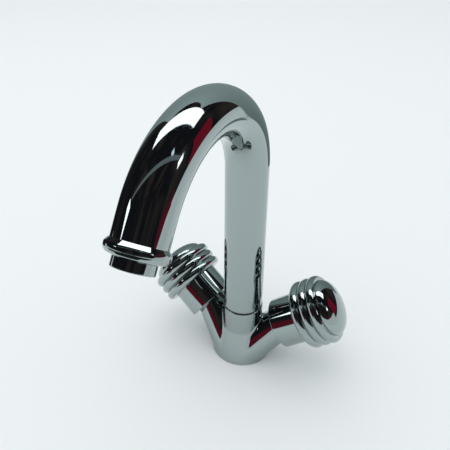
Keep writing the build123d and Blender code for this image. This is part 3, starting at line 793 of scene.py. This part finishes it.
def clouded(material, low, high, scale):
    """Let a glow drift between two colours in soft upright clouds."""
    tree = material.node_tree
    place = add_node(tree, "ShaderNodeTexCoord")
    stretch = add_node(tree, "ShaderNodeMapping", Scale=FOLD_STRETCH)
    cloud = add_node(tree, "ShaderNodeTexNoise", Scale=scale, Detail=1.0)
    ramp = add_node(tree, "ShaderNodeValToRGB")
    for element, spot, colour in zip(ramp.color_ramp.elements, (FOLD_START, FOLD_END), (low, high)):
        element.position = spot
        element.color = (*colour, 1)
    tree.links.new(place.outputs["Object"], stretch.inputs["Vector"])
    tree.links.new(stretch.outputs["Vector"], cloud.inputs["Vector"])
    tree.links.new(cloud.outputs["Fac"], ramp.inputs["Fac"])
    tree.links.new(ramp.outputs["Color"], tree.nodes["Emission"].inputs["Color"])


def seen_from_above(material):
    """Let a glow show only on its upper side."""
    tree = material.node_tree
    side = add_node(tree, "ShaderNodeNewGeometry")
    clear = add_node(tree, "ShaderNodeBsdfTransparent")
    pick = add_node(tree, "ShaderNodeMixShader")
    tree.links.new(side.outputs["Backfacing"], pick.inputs["Fac"])
    tree.links.new(tree.nodes["Emission"].outputs[0], pick.inputs[1])
    tree.links.new(clear.outputs[0], pick.inputs[2])
    tree.links.new(pick.outputs[0], tree.nodes["Material Output"].inputs["Surface"])


print("glow helpers:", [helper.__name__ for helper in (glow, graded, clouded, seen_from_above)])

# %% [markdown]
# The colours are those of the room that the tap shows: nearly black drapes, a grey-green cloth that is
# lighter towards its top, a pale sweep, white windows and two shades of burgundy. Only the windows are
# brighter than white, so that they burn out in the chrome as real ones do.

# %% Glows
dark = glow("dark_drape")
clouded(dark, low=(0.012, 0.012, 0.015), high=(0.05, 0.040, 0.035), scale=1.3)
grey_green = glow("back_cloth")
graded(grey_green, low=(0.17, 0.23, 0.225), high=(0.52, 0.60, 0.61), top=0.75)
sweep_grey = glow("front_sweep", (0.74, 0.80, 0.80))
white = glow("light_box", (1.0, 1.0, 1.0), strength=3.0)
haze_white = glow("hazy_window", (0.8, 0.9, 1.0), strength=1.5)
bar_glow = glow("dim_bar", (0.20, 0.23, 0.24))
burgundy = glow("burgundy_cloth", (0.26, 0.012, 0.03))
deep_burgundy = glow("deep_burgundy_cloth", (0.15, 0.012, 0.024))
apron = glow("dark_apron", (0.02, 0.02, 0.022))
seen_from_above(apron)
GLOWS = (dark, grey_green, sweep_grey, white, haze_white, bar_glow, burgundy, deep_burgundy, apron)
print("glows:", [material.name for material in GLOWS])

# %% [markdown]
# A card is a grid of one face, scaled and turned. It stands upright round the tap, faces its middle as a
# window does, or lies level. Places are given as an azimuth in degrees, 0 at the front and 90 at the right,
# because a reflection is found by the direction that it comes from.

# %% Cards
ROOM_CENTRE = Vector((0, -40, 120)) * MM


def sky(azimuth, elevation=0):
    """Unit vector towards a place in the room."""
    side, rise = radians(azimuth), radians(elevation)
    return Vector((sin(side) * cos(rise), -cos(side) * cos(rise), sin(rise)))


def level(azimuth):
    """Level unit vector square to an azimuth."""
    return Vector((cos(radians(azimuth)), sin(radians(azimuth)), 0))


def card(name, centre, across, upward, width, height, material):
    """A flat sheet about a point, spanned by two directions, in metres, that only reflections see."""
    bm = bmesh.new()
    turn = Matrix((across.normalized(), upward.normalized(), across.cross(upward).normalized())).transposed()
    bmesh.ops.create_grid(bm, x_segments=1, y_segments=1, size=0.5)
    bmesh.ops.scale(bm, vec=(width, height, 1), verts=bm.verts)
    bmesh.ops.transform(bm, matrix=Matrix.Translation(centre) @ turn.to_4x4(), verts=bm.verts)
    thing = add_object(name, bm)
    thing.data.materials.append(material)
    thing.visible_camera = False
    thing.visible_diffuse = False
    thing.visible_shadow = False
    thing.visible_transmission = False


def standing_card(name, azimuth, reach, middle, width, height, material):
    """An upright card at a distance from the tap's axis, with its middle at a height."""
    card(name, sky(azimuth) * reach + UP * middle, level(azimuth), UP, width, height, material)


def facing_card(name, azimuth, elevation, distance, width, height, material):
    """A card that faces the tap, as wide and high as the given angles in degrees."""
    way, across = sky(azimuth, elevation), level(azimuth)
    card(name, ROOM_CENTRE + way * distance, across, way.cross(across),
         2 * distance * tan(radians(width / 2)), 2 * distance * tan(radians(height / 2)), material)


print("the room's middle, in metres:", [round(v, 3) for v in ROOM_CENTRE])

# %% [markdown]
# The room itself is dark, which gives the tube its deep blacks. A curved grey cloth behind the tap shows in
# the outer side of the bend and the column. A low pale sweep in front shows in the skirt and the lower
# sides.

# %% Room
ROOM_REACH, ROOM_CEILING = 2.6, 2.2
BEHIND, BACKWARDS = -157, Vector((0, 1, 0))
BACK_REACH, BACK_HEIGHT, BACK_STEP = 0.36, 0.74, 20.5
SWEEP_REACH, SWEEP_HEIGHT, SWEEP_WIDTH = 0.38, 0.128, 0.318
for turn in range(0, 360, 45):
    facing_card(f"drape_{turn}", turn, elevation=0, distance=ROOM_REACH, width=50, height=90, material=dark)
card("drape_ceiling", UP * ROOM_CEILING, level(0), BACKWARDS, width=7, height=7, material=dark)
back_width = 2 * BACK_REACH * tan(radians(BACK_STEP / 2))
for step in range(-2, 3):
    standing_card(f"back_cloth_{step + 2}", BEHIND + BACK_STEP * step, BACK_REACH, middle=BACK_HEIGHT / 2,
                  width=back_width, height=BACK_HEIGHT, material=grey_green)
for turn in (-45, 0, 45, 90):
    standing_card(f"front_sweep_{turn}", turn, SWEEP_REACH, middle=SWEEP_HEIGHT / 2, width=SWEEP_WIDTH,
                  height=SWEEP_HEIGHT, material=sweep_grey)

# %% [markdown]
# White sheets make the highlights: a long strip overhead for the top of the bend, and windows left and
# right for the sharp patches on tube and handles. A dim bar crosses above the tap, and leaves a thin grey
# line on the tube.

# %% Windows and lights
STRIP_HEIGHT, STRIP_BACK, STRIP_ASIDE = 1.0, 0.33, -0.11
BAR_HEIGHT, BAR_FORWARD, BAR_AZIMUTH = 1.05, 0.45, 25
strip_place = UP * STRIP_HEIGHT + sky(BEHIND) * STRIP_BACK + level(BEHIND) * STRIP_ASIDE
bar_place = UP * BAR_HEIGHT + sky(BAR_AZIMUTH) * BAR_FORWARD
card("overhead_strip", ROOM_CENTRE + strip_place, level(BEHIND), sky(BEHIND), width=1.58, height=0.38,
     material=white)
card("overhead_bar", ROOM_CENTRE + bar_place, level(BAR_AZIMUTH), sky(BAR_AZIMUTH), width=3.4, height=0.1,
     material=bar_glow)
facing_card("left_window", azimuth=-50, elevation=26, distance=1.5, width=10, height=5.5, material=white)
facing_card("right_window", azimuth=99, elevation=30, distance=1.5, width=7, height=7, material=white)
facing_card("high_window", azimuth=80, elevation=60, distance=1.5, width=4, height=8, material=haze_white)

# %% [markdown]
# Cloths near the tap give the reflections their colour and their dark edges: burgundy at the right and in
# front, a dark drape low at the left, and a dark apron under the spout that only what lies above it sees.

# %% Cloths near the tap
facing_card("burgundy_right", azimuth=127, elevation=13, distance=1.6, width=18, height=26, material=burgundy)
standing_card("burgundy_side", azimuth=82, reach=0.6, middle=0.195, width=0.25, height=0.11,
              material=deep_burgundy)
standing_card("burgundy_front", azimuth=-27, reach=0.36, middle=0.08, width=0.27, height=0.11,
              material=deep_burgundy)
standing_card("low_drape", azimuth=-105, reach=0.42, middle=0.1, width=0.5, height=0.2, material=dark)
APRON_PLACE = Vector((0, -0.45, 0.13))
card("dark_apron", APRON_PLACE, level(0), BACKWARDS, width=0.34, height=0.5, material=apron)

# %% [markdown]
# ## Floor and lamp
# The floor is plain, matt and nearly white, so it keeps a soft shadow. One wide lamp, high up at the left
# and a little behind the tap, lights the matt things. It stays out of the chrome, where it would be one
# more window.

# %% Floor and lamp
FLOOR_HALF = 30.0
FLOOR_COLOUR, FLOOR_ROUGHNESS, FLOOR_SHEEN = (0.90, 0.925, 0.925, 1), 0.9, 0.1
LAMP_FROM, LAMP_SIZE, LAMP_POWER = Vector((-0.5, 0.2, 1.6)), 2.0, 5.5
floor_bm = bmesh.new()
bmesh.ops.create_grid(floor_bm, x_segments=1, y_segments=1, size=FLOOR_HALF)
floor = add_object("floor", floor_bm)
floor_material = plain_material("pale_floor", Base_Color=FLOOR_COLOUR, Roughness=FLOOR_ROUGHNESS,
                                Specular_IOR_Level=FLOOR_SHEEN)[0]
floor.data.materials.append(floor_material)

lamp_data = bpy.data.lights.new("soft_lamp", "AREA")
lamp_data.shape = "RECTANGLE"
lamp_data.size, lamp_data.size_y = LAMP_SIZE, LAMP_SIZE
lamp_data.energy = LAMP_POWER
lamp = bpy.data.objects.new("soft_lamp", lamp_data)
bpy.context.scene.collection.objects.link(lamp)
lamp_turn = (LAMP_FROM - ROOM_CENTRE).to_track_quat("Z", "Y").to_matrix().to_4x4()
lamp.matrix_world = Matrix.Translation(LAMP_FROM) @ lamp_turn
lamp.visible_glossy = False
print("floor:", floor_material.name, "lamp:", lamp_data.energy, "W")

# %% [markdown]
# ## World
# The world has two faces. Where the camera, a reflection or something seen through glass meets it, it is
# plain white. For everything else it is a soft light, a little weaker, so that pale surfaces don't burn
# out.

# %% World
SOFT_COLOUR, SOFT_STRENGTH = (0.95, 0.98, 1.0, 1), 0.88


def larger(tree, first, second):
    """The larger of two values."""
    node = add_node(tree, "ShaderNodeMath")
    node.operation = "MAXIMUM"
    tree.links.new(first, node.inputs[0])
    tree.links.new(second, node.inputs[1])
    return node.outputs[0]


world = bpy.data.worlds.new("studio")
bpy.context.scene.world = world
world.use_nodes = True
tree = world.node_tree
tree.nodes.clear()
rays = add_node(tree, "ShaderNodeLightPath").outputs
shown = larger(tree, larger(tree, rays["Is Camera Ray"], rays["Is Glossy Ray"]), rays["Is Transmission Ray"])
soft = add_node(tree, "ShaderNodeBackground", Color=SOFT_COLOUR, Strength=SOFT_STRENGTH)
backdrop = add_node(tree, "ShaderNodeBackground", Color=(1, 1, 1, 1), Strength=1.0)
mix = add_node(tree, "ShaderNodeMixShader")
out = add_node(tree, "ShaderNodeOutputWorld")
tree.links.new(shown, mix.inputs["Fac"])
tree.links.new(soft.outputs[0], mix.inputs[1])
tree.links.new(backdrop.outputs[0], mix.inputs[2])
tree.links.new(mix.outputs[0], out.inputs["Surface"])
bpy.context.scene.view_settings.view_transform = "Standard"
print("world:", world.name, "soft light at", SOFT_STRENGTH)

# %% [markdown]
# ## Camera
# The camera stands above the handles and to the right of the tap as its user sees it, as in the picture
# being matched. Its place is an azimuth, an elevation and a distance from a point on the column's axis. It
# aims a little beside that point, and a small shift puts the optical centre where the picture has it.

# %% Camera
PICTURE_SIZE, SENSOR_WIDTH = 450, 36.0
cam_azimuth, cam_elevation, cam_roll = radians(23.2), radians(34.91), radians(-0.29)
cam_distance, cam_focal = 434.74, 555.53
cam_centre = (214.48, 230.15)
aim_right, aim_up, aim_height = -24.05, 12.71, 104.17
toward = Vector((sin(cam_azimuth) * cos(cam_elevation), -cos(cam_azimuth) * cos(cam_elevation),
                 sin(cam_elevation)))
right = Vector((cos(cam_azimuth), sin(cam_azimuth), 0))
position = UP * aim_height + toward * cam_distance
target = UP * aim_height + right * aim_right + toward.cross(right) * aim_up
look = (target - position).normalized()
side_way = look.cross(UP).normalized()
up_way = side_way.cross(look)
cam_right = side_way * cos(cam_roll) + up_way * sin(cam_roll)
cam_up = up_way * cos(cam_roll) - side_way * sin(cam_roll)
camera_data = bpy.data.cameras.new("camera")
camera = bpy.data.objects.new("camera", camera_data)
bpy.context.scene.collection.objects.link(camera)
camera.matrix_world = (Matrix.Translation(position * MM)
                       @ Matrix((cam_right, cam_up, -look)).transposed().to_4x4())
camera_data.sensor_width = SENSOR_WIDTH
camera_data.sensor_fit = "HORIZONTAL"
camera_data.lens = cam_focal / PICTURE_SIZE * SENSOR_WIDTH
camera_data.shift_x = (PICTURE_SIZE / 2 - cam_centre[0]) / PICTURE_SIZE
camera_data.shift_y = (cam_centre[1] - PICTURE_SIZE / 2) / PICTURE_SIZE
camera_data.clip_start = 0.01
bpy.context.scene.camera = camera
shift = (camera_data.shift_x, camera_data.shift_y)
print("lens", round(camera_data.lens, 2), "shift", [round(v, 4) for v in shift])
